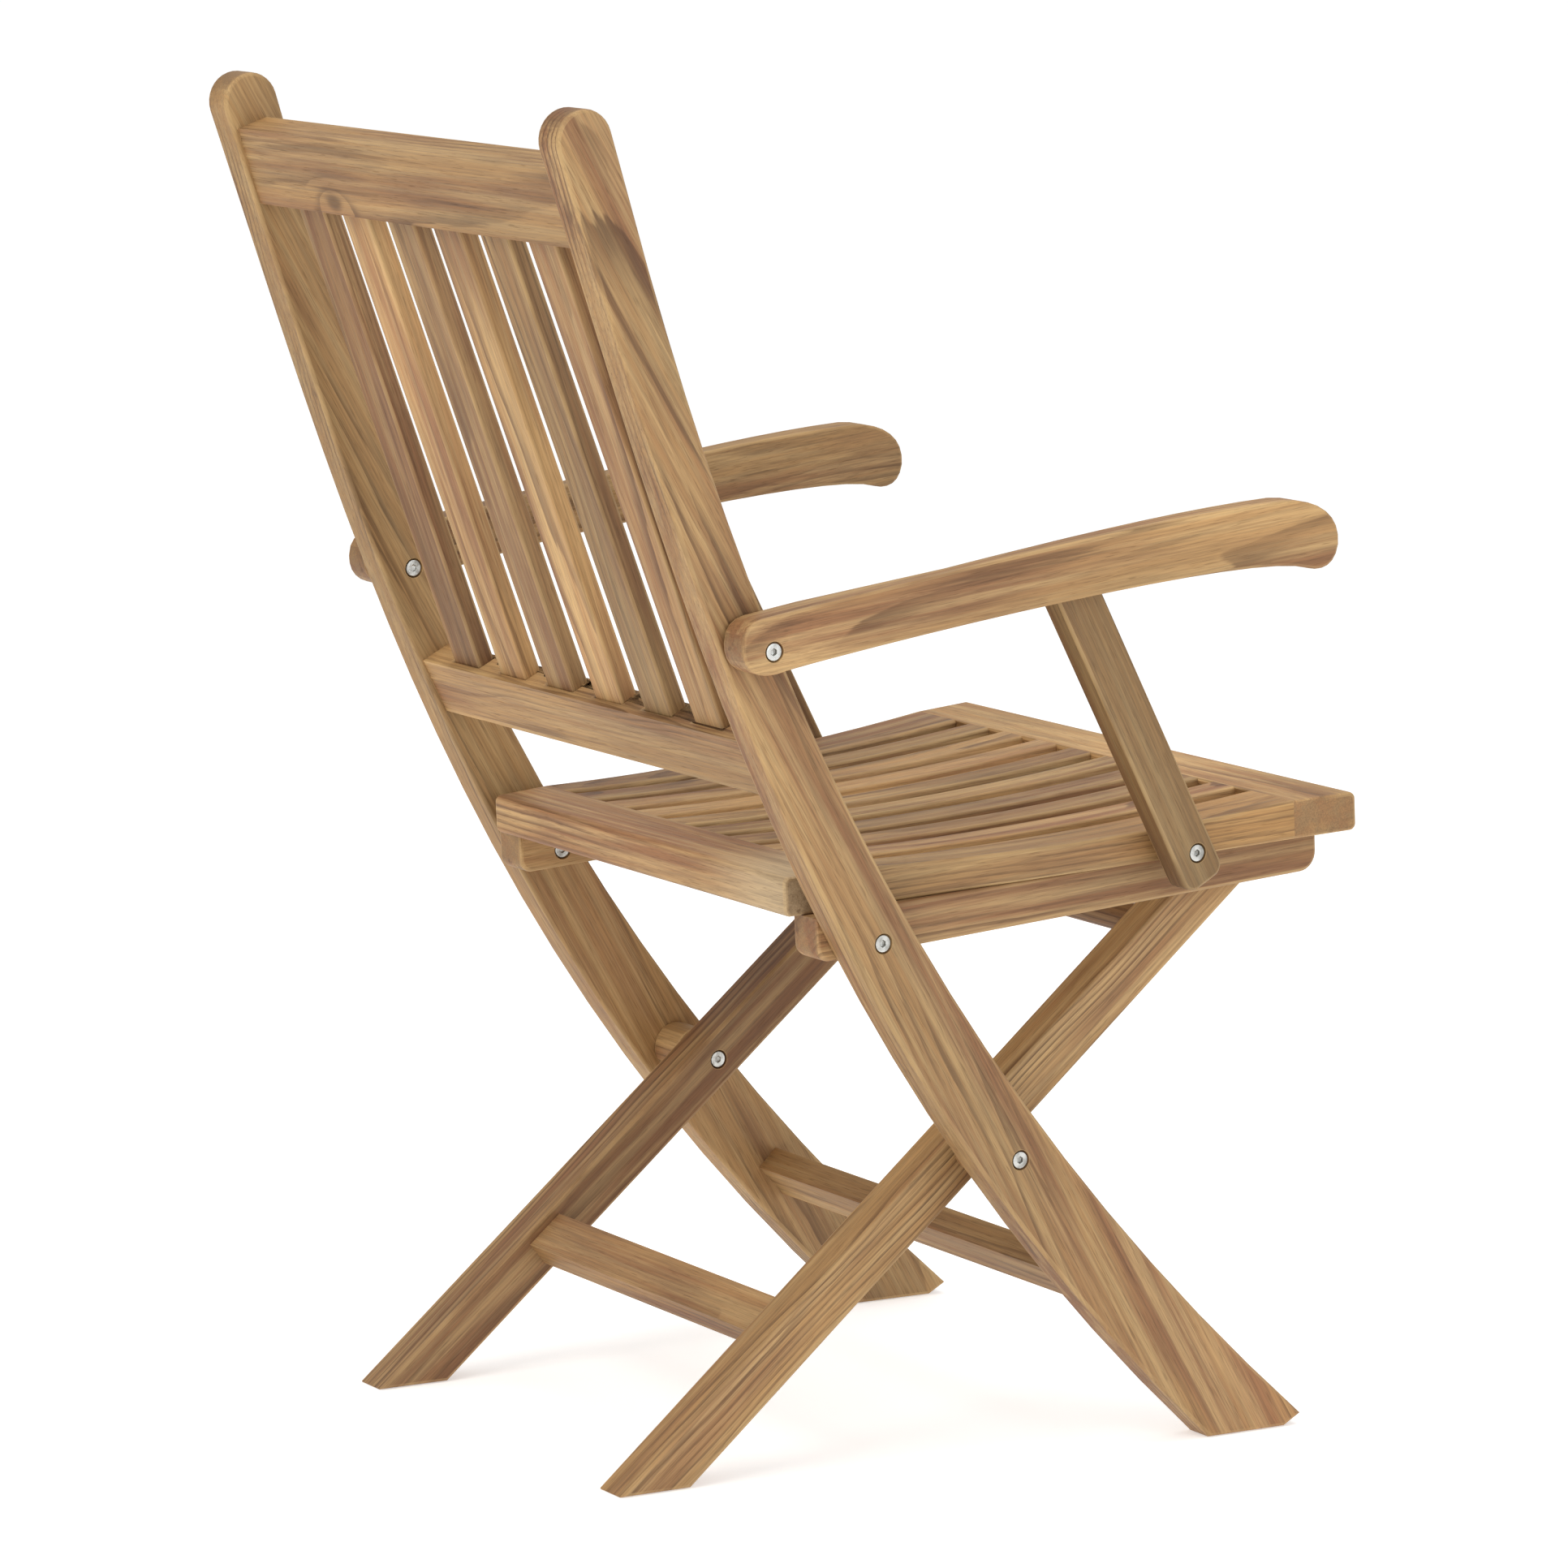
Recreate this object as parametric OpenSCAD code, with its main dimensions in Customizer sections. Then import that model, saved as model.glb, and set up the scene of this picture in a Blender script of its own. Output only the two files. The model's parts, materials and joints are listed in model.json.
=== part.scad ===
// Folding slatted hardwood armchair, standing open.
// Millimetres. +Z is up, the front of the chair faces -Y, +X is the sitter's left.
// The origin is on the floor, in the middle of the chair's footprint.

/* [Overall] */
// Height from the floor to the top of the back posts
chair_h = 945; // [880:5:1140]
// Clear width between the two back posts (stiles)
inner_w = 426; // [350:2:520]
// Height of the crossing pivot between stile and rear leg
cross_z = 218; // [200:1:240]
// Height of the seat pivot
seat_pivot_z = 379.5; // [360:0.5:410]
// Height of the arm pivot on the stile
arm_pivot_z = 588.5; // [560:0.5:640]

/* [Stiles] */
// Thickness of a stile, across the chair
stile_t = 26; // [20:0.5:34]
// Radius of the rounded stile top
stile_top_r = 21; // [16:0.1:24]
// Height of the blunt toe at the front of a stile's foot
toe_h = 8; // [4:1:14]

/* [Rear legs] */
// Distance of a rear leg's slide pin behind the front edge of the seat
pin_back = 62; // [50:0.5:80]
// Thickness of a rear leg, across the chair
leg_t = 31; // [24:0.5:36]
// Width of a rear leg, seen from the side
leg_w = 36.3; // [28:0.1:40]
// Distance from the crossing pivot down to the rear stretcher
stretcher_down = 186; // [150:1:210]
// Distance from the crossing pivot up to the bar between the leg tops
crossbar_up = 216; // [170:1:230]
// Radius of that round bar
crossbar_r = 11; // [9:0.5:14]

/* [Seat] */
// Rise of the seat towards the front, in degrees
seat_slope = 4.65; // [2:0.01:6]
// Distance from the seat pivot to the front edge of the seat
seat_reach = 403; // [330:1:485]
// Distance from the seat pivot to the rear edge of the seat
seat_back = 49; // [45:1:60]
// How far each front corner stands outside the line of the stiles' inner faces
seat_over = 29; // [18:0.5:34]
// How far each rear corner stands inside that line
seat_under = 19; // [8:0.5:24]
// Thickness of the seat frame
seat_t = 27.8; // [20:0.1:34]
// Height of the seat frame's underside above the seat pivot
seat_low = 18.3; // [17:0.1:26]
// Depth of the front rail, front to back
front_rail_w = 51; // [35:1:60]
// Depth of the rear rail, front to back
rear_rail_w = 47; // [30:1:56]
// Width of a side rail where it meets the front rail
side_rail_front = 52.5; // [48:0.5:60]
// Width of a side rail where it meets the rear rail
side_rail_rear = 26.4; // [24:0.2:34]
// How far the seat dips in the middle
dish = 6; // [0:0.5:9]
// Number of seat slats
seat_slats = 8; // [5:1:9]
// Width of a seat slat
seat_slat_w = 27; // [18:0.5:33]
// Thickness of a seat slat
seat_slat_t = 15; // [12:0.5:18]
// Height of the cleats under the seat
cleat_h = 31; // [28:0.5:36]

/* [Back] */
// Height of the middle of the lower back rail
low_rail_z = 500; // [470:1:560]
// Width of the lower back rail
low_rail_h = 43; // [30:1:60]
// Distance from the stile's top down to the middle of the top rail
top_rail_drop = 67; // [58:1:120]
// Width of the top rail
top_rail_h = 56; // [40:1:80]
// Thickness of both back rails
rail_t = 24; // [18:0.5:30]
// Number of back slats
back_slats = 6; // [4:1:7]
// Width of a back slat
back_slat_w = 36; // [24:0.5:40]
// Thickness of a back slat
back_slat_t = 13.5; // [8:0.5:14]
// Gap between a stile and the nearest slat at the lower rail
back_gap_low = 32.5; // [20:0.5:50]
// Gap between a stile and the nearest slat at the top rail
back_gap_top = 38; // [20:0.5:60]

/* [Stretchers] */
// Width of the stretcher bars
bar_w = 32; // [24:1:40]
// Thickness of the stretcher bars
bar_t = 20; // [14:0.5:24]
// Height of the front stretcher between the stiles
front_bar_z = 112; // [90:1:130]

/* [Arms] */
// Thickness of an arm
arm_t = 25; // [18:0.5:30]
// How far an arm's front end spreads outwards
arm_flare = 17; // [12:0.5:30]
// Thickness of an arm support
support_t = 21; // [14:0.5:23]
// Width of an arm support, seen from the side
support_w = 34; // [28:0.5:38]

/* [Hardware] */
// Radius of the pivot sleeves
pivot_r = 4; // [3:0.1:5]
// Radius of the sleeve and screw heads
head_r = 6; // [5.5:0.1:7]
// Thickness of the sleeve and screw heads
head_t = 2.2; // [1.6:0.1:2.6]
// Radial play where a piece turns on a sleeve
turn_gap = 0.05; // [0.02:0.01:0.1]
// Radial play where a sleeve is held fast
snug_gap = 0.01; // [0.005:0.005:0.02]
// Gap between faces that slide past each other
side_gap = 0.5; // [0.3:0.1:1]
// Play around tenons and slat ends
joint_gap = 0.1; // [0.05:0.05:0.3]

/* [Motion] */
// Folding angle of the seat when the supports meet the stiles
seat_fold = 87; // [70:1:91]

/* [Hidden] */
$fn = 48;

// Colours of the timber and the hardware.
teak = [0.71, 0.55, 0.38];
teak_dark = [0.62, 0.46, 0.31];
teak_pale = [0.78, 0.64, 0.46];
steel = [0.78, 0.78, 0.76];

// Cubic curve through control values a, evaluated at t from 0 to 1.
function cubic(a, t) =
    a[0] * pow(1 - t, 3) + 3 * a[1] * pow(1 - t, 2) * t + 3 * a[2] * (1 - t) * t * t + a[3] * pow(t, 3);
// n + 1 points on the same curve, the first one left out when skip is 1.
function curve(a, n, skip = 0) = [for (i = [skip:n]) cubic(a, i / n)];
// Points on an arc about c, from angle a0 to a1.
function arc(c, r, a0, a1, n = 8) =
    [for (i = [0:n]) let (a = a0 + (a1 - a0) * i / n) c + r * [cos(a), sin(a)]];
// Unit vector at an angle above the rearward direction, in the (y, z) side plane.
function dir(a) = [cos(a), sin(a)];

// Layers across the chair, measured outwards from the middle plane.
stile_in = inner_w / 2;
stile_out = stile_in + stile_t;
cleat_out = stile_in - side_gap;
cleat_t = 30;
cleat_in = cleat_out - cleat_t;
leg_out = cleat_in - side_gap;
leg_in = leg_out - leg_t;
washer_t = 2;
play = 0.3;
arm_in = stile_out + washer_t + play;

// Side outline of a stile: its front and rear edges as curves over its height.
stile_top_z = chair_h - stile_top_r;
stile_front_y = [-316, 55, 191, 291];
stile_rear_y = [-225, 124, 218, 336];
function front_edge(z) = cubic(stile_front_y, z / stile_top_z);
function rear_edge(z) = cubic(stile_rear_y, z / stile_top_z);
function mid_edge(z) = (front_edge(z) + rear_edge(z)) / 2;
// Lean of the stile behind the vertical, in degrees.
function lean(z) = atan((mid_edge(z + 1) - mid_edge(z - 1)) / 2);

// Pivots in the (y, z) side plane.
cross_p = [mid_edge(cross_z), cross_z];
seat_p = [mid_edge(seat_pivot_z), seat_pivot_z];
arm_p = [mid_edge(arm_pivot_z) - 4, arm_pivot_z];

// A point given along (a) and above (b) the seat plane, seen from the side.
function from_seat(p) = seat_p + [
    p[0] * cos(seat_slope) + p[1] * sin(seat_slope),
    p[1] * cos(seat_slope) - p[0] * sin(seat_slope)];
function to_seat(w, fold = 0) = let (d = w - seat_p, a = seat_slope + fold)
    [d[0] * cos(a) - d[1] * sin(a), d[0] * sin(a) + d[1] * cos(a)];

// Seat frame, in its own plane.
seat_top = seat_low + seat_t;
seat_front_w = inner_w + 2 * seat_over;
seat_rear_w = inner_w - 2 * seat_under;
front_rail_in = front_rail_w - seat_reach;
rear_rail_in = seat_back - rear_rail_w;
slat_run = rear_rail_in - front_rail_in;
slat_mid = (rear_rail_in + front_rail_in) / 2;
function seat_half(y) =
    seat_front_w / 2 - (seat_front_w - seat_rear_w) / 2 * (y + seat_reach) / (seat_reach + seat_back);
// Half the width of the field of slats, between the side rails.
function slat_half(y) = seat_half(y) - side_rail_front
    - (side_rail_rear - side_rail_front) * (y - front_rail_in) / slat_run;
function dip(y) = dish * (1 - pow((y - slat_mid) / (slat_run / 2), 2));
tongue_l = 10;
tongue_t = 6;
tongue_drop = 4;
tongue_side = 2;
tenon_l = 15;

// Arm support: its pins are the fourth corner of a parallelogram with the seat and arm pivots.
bolt_edge = 8;
support_back = 149.4;
support_seat_y = support_back - seat_reach;
low_pin = from_seat([support_seat_y, seat_low + bolt_edge]);
high_pin = low_pin + arm_p - seat_p;
support_tail = 23;
support_head = 15;
// The bar leans by this much from the line of its two pins, and its middle lies behind that line.
support_skew = -1.5;
support_set = 5.6;
support_span = norm(arm_p - seat_p);
support_turn = atan2((arm_p - seat_p)[1], (arm_p - seat_p)[0]);
// From the lower pin to the bar's front edge, and from the upper pin to its rear edge.
skew_shift = support_span / 2 * sin(support_skew);
low_to_front = support_w / 2 - support_set - skew_shift;
high_to_rear = support_w / 2 + support_set - skew_shift;
// Folded, the bar lies beside the seat this far forward of the lower pin, and clears its flared side.
beside_seat = 180 - seat_slope - support_turn - seat_fold - support_skew;
seat_overlap = ((seat_t - bolt_edge) * cos(beside_seat) + low_to_front) / sin(beside_seat);
support_in = seat_half(support_seat_y - seat_overlap) + side_gap;
support_out = support_in + support_t;
// Folded, the bar lies beside the arm this far behind the upper pin.
arm_below = 17;
beside_arm = atan2((arm_p - high_pin)[1], (arm_p - high_pin)[0]) + 180 - support_turn
    - seat_fold - support_skew;
arm_overlap = (arm_below * cos(beside_arm) + high_to_rear) / sin(beside_arm);
spot_r = 9;
spot_x = seat_half(support_seat_y + spot_r) - play;

// Rear leg: the slide pin stands in the cleat's groove when the chair is open.
leg_head_gap = 1.35;
leg_set = 2;
pin_height = seat_low - leg_w / 2 - leg_head_gap - leg_set;
slide_p = from_seat([pin_back - seat_reach, pin_height]);
pin_reach = norm(slide_p - cross_p);
pin_angle = atan2((slide_p - cross_p)[1], (cross_p - slide_p)[0]);
// The pin is set this far below the leg's centre line, which passes through the crossing pivot.
leg_angle = pin_angle + asin(leg_set / pin_reach);
leg_up = dir(180 - leg_angle);
groove_gap = 0.3;
groove_r = pivot_r + groove_gap;
groove_depth = 13;

// Folding: the slide pin is at the same height under the seat at both ends of its travel.
function leg_slope(fold) = asin((pin_height - to_seat(cross_p, fold)[1]) / pin_reach);
leg_fold = seat_fold + leg_slope(seat_fold) - leg_slope(0);
leg_ratio = leg_fold / seat_fold;
// Place of the slide pin in the seat's plane when the seat is folded by an angle.
function pin_at(fold) = to_seat(cross_p + pin_reach * dir(180 - pin_angle - leg_ratio * fold), fold);

// Lays a side outline, drawn as (y, z), out as a plate from x0 outwards.
module plate(x0, t) { translate([x0, 0, 0]) rotate([90, 0, 90]) linear_extrude(t) children(); }
// A cylinder along X from x0 to x1 through a point of the side plane.
module pin(p, r, x0, x1) { translate([x0, p[0], p[1]]) rotate([0, 90, 0]) cylinder(r = r, h = x1 - x0); }
// The seat's own plane, with its origin at the seat pivot.
module in_seat() { translate([0, seat_p[0], seat_p[1]]) rotate([-seat_slope, 0, 0]) children(); }
// A frame at the rear edge of the stile at height z, with +Z along the stile.
module on_stile(z) { translate([0, rear_edge(z), z]) rotate([-lean(z), 0, 0]) children(); }
// A frame on the leg's centre line, d above the crossing pivot, with +Y along the leg downwards.
module on_leg(d) {
    translate([0, (cross_p + d * leg_up)[0], (cross_p + d * leg_up)[1]]) rotate([-leg_angle, 0, 0]) children();
}
module right() { mirror([1, 0, 0]) children(); }
module both() {
    children();
    right() children();
}
// A box centred on the frame, with w along X, and sizes a along Y and b along Z.
module bar(w, a, b) { translate([-w / 2, -a / 2, -b / 2]) cube([w, a, b]); }

// ---------- back frame ----------
stile_steps = 22;
module stile_outline() {
    top_c = [mid_edge(stile_top_z), stile_top_z];
    a = 90 - lean(stile_top_z);
    front = [for (i = [0:stile_steps - 1])
        let (z = toe_h + (stile_top_z - toe_h) * i / stile_steps) [front_edge(z), z]];
    rear = [for (i = [stile_steps - 1:-1:0]) let (z = stile_top_z * i / stile_steps) [rear_edge(z), z]];
    toe = [[front_edge(0) + 3 * toe_h, 0]];
    polygon(concat(toe, front, arc(top_c, stile_top_r, a + 90, a - 90, 16), rear));
}
rail_inset = 4;
rail_tenon_t = 12;
top_rail_z = chair_h - top_rail_drop;
module rail_body(h) { translate([0, -rail_inset - rail_t / 2, 0]) bar(inner_w, rail_t, h); }
module rail_tenon(h, gap) {
    translate([0, -rail_inset - rail_t / 2, 0])
        bar(inner_w + 2 * (tenon_l + gap), rail_tenon_t + 2 * gap, h - 16 + 2 * gap);
}
module stile_bar() {
    translate([0, mid_edge(front_bar_z), front_bar_z]) rotate([-lean(front_bar_z), 0, 0]) children();
}
module bar_tenon(w, a, b, gap) { bar(w + 2 * (tenon_l + gap), a - 8 + 2 * gap, b - 8 + 2 * gap); }
module stile() {
    difference() {
        plate(stile_in, stile_t) stile_outline();
        on_stile(top_rail_z) rail_tenon(top_rail_h, joint_gap);
        on_stile(low_rail_z) rail_tenon(low_rail_h, joint_gap);
        stile_bar() bar_tenon(inner_w, bar_t, bar_w, joint_gap);
        for (p = [cross_p, seat_p]) {
            pin(p, pivot_r + snug_gap, stile_in - 1, stile_out + 1);
            pin(p, head_r + head_play, stile_out - head_sink, stile_out + 1);
        }
        pin(arm_p, pivot_r + snug_gap, stile_in - 1, stile_out + 1);
        pin(arm_p, head_r + head_play, stile_in - 1, stile_in + head_sink);
    }
}
head_play = 1.1;
head_sink = head_t + 0.7;
module stile_left() { color(teak) stile(); }
module stile_right() { color(teak) right() stile(); }

// Each back slat runs straight from the lower rail to the top rail.
slat_back = rail_inset + 8 + back_slat_t / 2;
function stile_point(z, back, up) = [rear_edge(z), z] + back * -dir(-lean(z)) + up * dir(90 - lean(z));
slat_foot = stile_point(low_rail_z, slat_back, low_rail_h / 2);
slat_head = stile_point(top_rail_z, slat_back, -top_rail_h / 2);
slat_tilt = atan((slat_head - slat_foot)[0] / (slat_head - slat_foot)[1]);
slat_len = norm(slat_head - slat_foot);
slat_pitch_low = (inner_w - 2 * back_gap_low - back_slat_w) / (back_slats - 1);
slat_pitch_top = (inner_w - 2 * back_gap_top - back_slat_w) / (back_slats - 1);
house = 12;
function slat_index(i, n) = i - 1 - (n - 1) / 2;
module back_slat(i, gap = 0) {
    k = slat_index(i, back_slats);
    fan = atan(k * (slat_pitch_top - slat_pitch_low) / slat_len);
    translate([k * slat_pitch_low, slat_foot[0], slat_foot[1]]) rotate([-slat_tilt, 0, 0])
        rotate([0, fan, 0]) translate([-back_slat_w / 2 - gap, -back_slat_t / 2, -house - gap])
            cube([back_slat_w + 2 * gap, back_slat_t, slat_len + 2 * (house + gap)]);
}
module back_rail(z, h) {
    difference() {
        on_stile(z) {
            rail_body(h);
            rail_tenon(h, 0);
        }
        for (i = [1:back_slats]) back_slat(i, joint_gap);
    }
}
module back_top_rail() { color(teak) back_rail(top_rail_z, top_rail_h); }
module back_bottom_rail() { color(teak) back_rail(low_rail_z, low_rail_h); }
module back_slat_node(i) { color(i % 2 == 0 ? teak : teak_pale) back_slat(i); }
module front_stretcher() {
    color(teak) stile_bar() {
        bar(inner_w, bar_t, bar_w);
        bar_tenon(inner_w, bar_t, bar_w, 0);
    }
}
spacer_r = 18;
module leg_spacer() {
    difference() {
        pin(cross_p, spacer_r, leg_out + play, stile_in);
        pin(cross_p, pivot_r + snug_gap, leg_out, stile_in + 1);
    }
}
module leg_spacer_left() { color(teak_pale) leg_spacer(); }
module leg_spacer_right() { color(teak_pale) right() leg_spacer(); }
washer_r = 8;
module arm_washers() {
    color(steel) both() difference() {
        pin(arm_p, washer_r, stile_out, stile_out + washer_t);
        pin(arm_p, pivot_r + snug_gap, stile_out - 1, stile_out + washer_t + 1);
    }
}

// ---------- pivot hardware ----------
// A sleeve has its head on the outside and takes a screw from the inside.
hex_r = 2.5;
hex_deep = 2.6;
screw_hex_deep = 1.5;
thread_r = 2.5;
thread_play = 0.05;
socket_floor = 4;
module hex_socket(p, x, deep) {
    translate([x, p[0], p[1]]) rotate([0, 90, 0]) cylinder(r = hex_r, h = 2 * deep, center = true, $fn = 6);
}
module sleeve(p, x_in, x_out) {
    difference() {
        union() {
            pin(p, pivot_r, x_in, x_out);
            pin(p, head_r, x_out - head_t, x_out);
        }
        pin(p, thread_r + thread_play, x_in - 1, x_out - socket_floor);
        hex_socket(p, x_out, hex_deep);
    }
}
module screw(p, x_in, x_out) {
    difference() {
        union() {
            pin(p, head_r, x_in - head_t, x_in);
            pin(p, thread_r, x_in - head_t, x_out - socket_floor - 2);
        }
        hex_socket(p, x_in - head_t, screw_hex_deep);
    }
}
// Heads rest in the stile where they are fixed, and float by the play where a piece turns.
leg_screw_x = leg_in + head_sink + 0.3;
leg_sink = head_sink + 0.3 + play;
seat_screw_x = cleat_in + head_sink + 0.3;
outer_head_x = stile_out - head_sink + head_t;
arm_out = arm_in + arm_t;
arm_head_x = arm_out - head_sink + head_t;
arm_screw_x = stile_in + head_sink;
module leg_pivot_sleeves() { color(steel) both() sleeve(cross_p, leg_screw_x, outer_head_x); }
module leg_pivot_screws() { color(steel) both() screw(cross_p, leg_screw_x, outer_head_x); }
module seat_pivot_sleeves() { color(steel) both() sleeve(seat_p, seat_screw_x, outer_head_x); }
module seat_pivot_screws() { color(steel) both() screw(seat_p, seat_screw_x, outer_head_x); }
module arm_pivot_sleeves() { color(steel) both() sleeve(arm_p, arm_screw_x, arm_head_x); }
module arm_pivot_screws() { color(steel) both() screw(arm_p, arm_screw_x, arm_head_x); }

// ---------- seat ----------
edge_r = 5;
// Outline of the seat between two stations, as wide as the flared sides.
module seat_plan(y0, y1) {
    translate([0, 0, seat_low]) linear_extrude(seat_t)
        polygon([[-seat_half(y0), y0], [seat_half(y0), y0], [seat_half(y1), y1], [-seat_half(y1), y1]]);
}
module side_profile(pts) { plate(-seat_front_w, 2 * seat_front_w) polygon(pts); }
module slat_tongue(i, gap) {
    k = slat_index(i, seat_slats);
    for (e = [0, 1]) {
        y = e == 0 ? front_rail_in : rear_rail_in;
        pitch = (slat_half(y) * 2 + seat_slat_w) / (seat_slats + 1);
        translate([k * pitch, y, seat_top - tongue_drop - tongue_t / 2])
            bar(seat_slat_w - 2 * tongue_side + 2 * gap, 2 * (tongue_l + gap), tongue_t + 2 * gap);
    }
}
side_tenon_t = 9;
// Half the width of the side rail's tenon, which stays inside the narrow rear end.
side_tenon_w = 9;
module side_tenons(gap) {
    for (y = [front_rail_in, rear_rail_in])
        translate([(seat_half(y) + slat_half(y)) / 2, y, (seat_top + seat_low) / 2])
            bar(2 * side_tenon_w + 2 * gap, 2 * (tenon_l + gap), side_tenon_t + 2 * gap);
}
module cross_rail_cuts() {
    for (i = [1:seat_slats]) slat_tongue(i, joint_gap);
    both() side_tenons(joint_gap);
}
module seat_front_rail() {
    color(teak) in_seat() difference() {
        intersection() {
            seat_plan(-seat_reach, front_rail_in);
            side_profile(concat([[front_rail_in, seat_low]], [[front_rail_in, seat_top]],
                arc([edge_r - seat_reach, seat_top - edge_r], edge_r, 90, 180),
                arc([edge_r - seat_reach, seat_low + edge_r], edge_r, 180, 270)));
        }
        cross_rail_cuts();
        both() cleat_screw_set(snug_gap);
    }
}
module seat_rear_rail() {
    color(teak_pale) in_seat() difference() {
        intersection() {
            seat_plan(rear_rail_in, seat_back);
            side_profile(concat(arc([seat_back - edge_r, seat_low + edge_r], edge_r, -90, 0),
                arc([seat_back - edge_r, seat_top - edge_r], edge_r, 0, 90),
                [[rear_rail_in, seat_top]], [[rear_rail_in, seat_low]]));
        }
        cross_rail_cuts();
    }
}
// Dished outline of the side rails and slats, t thick at the ends.
dish_steps = 12;
module dished(t, flat_base) {
    stations = [for (i = [0:dish_steps]) front_rail_in + slat_run * i / dish_steps];
    top = [for (y = stations) [y, seat_top - dip(y)]];
    base = flat_base ? [[rear_rail_in, seat_top - t], [front_rail_in, seat_top - t]]
        : [for (i = [dish_steps:-1:0]) [stations[i], seat_top - t - dip(stations[i])]];
    side_profile(concat(top, base));
}
module strip(front_x0, front_x1, rear_x0, rear_x1) {
    linear_extrude(3 * seat_top) polygon([[front_x0, front_rail_in], [front_x1, front_rail_in],
        [rear_x1, rear_rail_in], [rear_x0, rear_rail_in]]);
}
module seat_side_rail() {
    difference() {
        in_seat() union() {
            intersection() {
                dished(seat_t, true);
                strip(slat_half(front_rail_in), seat_half(front_rail_in),
                    slat_half(rear_rail_in), seat_half(rear_rail_in));
            }
            side_tenons(0);
        }
        pin(low_pin, bolt_r, spot_x - bolt_grip - 1, spot_x);
        pin(low_pin, spot_r, spot_x, seat_front_w);
        in_seat() cleat_screw_set(snug_gap);
    }
}
module seat_side_rail_left() { color(teak) seat_side_rail(); }
module seat_side_rail_right() { color(teak) right() seat_side_rail(); }
module seat_slat(i) {
    k = slat_index(i, seat_slats);
    front_x = k * (2 * slat_half(front_rail_in) + seat_slat_w) / (seat_slats + 1);
    rear_x = k * (2 * slat_half(rear_rail_in) + seat_slat_w) / (seat_slats + 1);
    half = seat_slat_w / 2;
    color(i % 3 == 0 ? teak_pale : teak) in_seat() {
        intersection() {
            dished(seat_slat_t, false);
            strip(front_x - half, front_x + half, rear_x - half, rear_x + half);
        }
        slat_tongue(i, 0);
    }
}
// Cleats: straight boards under the side rails that carry the seat pivots and the grooves.
cleat_front = 14 - seat_reach;
cleat_rear = 36;
cleat_low = seat_low - cleat_h;
cleat_toe_r = 14;
cleat_heel_r = 10;
path_steps = 38;
module pin_path() {
    at = [for (i = [0:path_steps]) pin_at(seat_fold * i / path_steps)];
    side = [for (i = [0:path_steps])
        let (d = at[min(i + 1, path_steps)] - at[max(i - 1, 0)]) groove_r * [-d[1], d[0]] / norm(d)];
    polygon(concat([for (i = [0:path_steps]) at[i] + side[i]],
        [for (i = [path_steps:-1:0]) at[i] - side[i]]));
}
module cleat() {
    first = pin_at(0);
    last = pin_at(seat_fold);
    difference() {
        in_seat() difference() {
            plate(cleat_in, cleat_t) polygon(concat([[cleat_front, seat_low]],
                arc([cleat_front + cleat_toe_r, cleat_low + cleat_toe_r], cleat_toe_r, 180, 270),
                arc([cleat_rear - cleat_heel_r, cleat_low + cleat_heel_r], cleat_heel_r, 270, 360),
                [[cleat_rear, seat_low]]));
            plate(cleat_in - 1, groove_depth + 1) {
                translate([first[0], pin_height - groove_r]) square([last[0] - first[0], 2 * groove_r]);
                pin_path();
                for (p = [first, last]) translate(p) circle(r = groove_r);
            }
            cleat_screw_set(snug_gap);
        }
        pin(seat_p, pivot_r + turn_gap, cleat_in - 1, cleat_out + 1);
        pin(seat_p, head_r + head_play, cleat_in - 1, seat_screw_x + play);
    }
}
module seat_cleat_left() { color(teak_dark) cleat(); }
module seat_cleat_right() { color(teak_dark) right() cleat(); }
screw_r = 2.2;
screw_head_r = 4.2;
screw_len = cleat_h + seat_t * 0.6;
// Screws up through the cleat, as [distance from the outer face, station along the seat].
screw_from_bolt = 37;
screw_spots = [[8, front_rail_in - 12], [8, support_seat_y + screw_from_bolt], [19, rear_rail_in - 32]];
module cleat_screw_set(gap) {
    for (s = screw_spots) translate([cleat_out - s[0], s[1], cleat_low]) {
        translate([0, 0, -gap]) cylinder(r = screw_r + gap, h = screw_len + 2 * gap);
        cylinder(r1 = screw_head_r + gap, r2 = screw_r + gap, h = 3);
    }
}
module cleat_screws() { color(steel) both() in_seat() cleat_screw_set(0); }

// ---------- arm supports ----------
bolt_r = 3;
bolt_grip = 28;
module support_bolt() {
    difference() {
        union() {
            pin(low_pin, bolt_r, spot_x - bolt_grip, spot_x + 1);
            pin(low_pin, pivot_r, spot_x, support_head_x - 1);
            pin(low_pin, head_r, support_head_x - head_t, support_head_x);
        }
        hex_socket(low_pin, support_head_x, hex_deep);
    }
}
support_head_x = support_out - head_sink + head_t;
module support_bolts() { color(steel) both() support_bolt(); }
module support_bushes() {
    color(steel) both() difference() {
        pin(low_pin, washer_r, spot_x, support_in - play);
        pin(low_pin, pivot_r + snug_gap, spot_x - 1, support_in);
    }
}
function turned(p, c, a) = c + [
    (p - c)[0] * cos(a) - (p - c)[1] * sin(a),
    (p - c)[0] * sin(a) + (p - c)[1] * cos(a)];
module support_outline() {
    c = (low_pin + high_pin) / 2;
    half = norm(high_pin - low_pin) / 2;
    w = support_w / 2;
    tail_r = 9;
    top_r = 12;
    a = atan2((high_pin - low_pin)[1], (high_pin - low_pin)[0]) + support_skew;
    flat = concat(
        arc([half + support_head - top_r, top_r - w], top_r, -90, 0),
        arc([half + support_head - top_r, w - top_r], top_r, 0, 90),
        arc([tail_r - half - support_tail, w - tail_r], tail_r, 90, 180),
        arc([tail_r - half - support_tail, tail_r - w], tail_r, 180, 270));
    polygon([for (p = flat) turned(c + p - [0, support_set], c, a)]);
}
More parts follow.
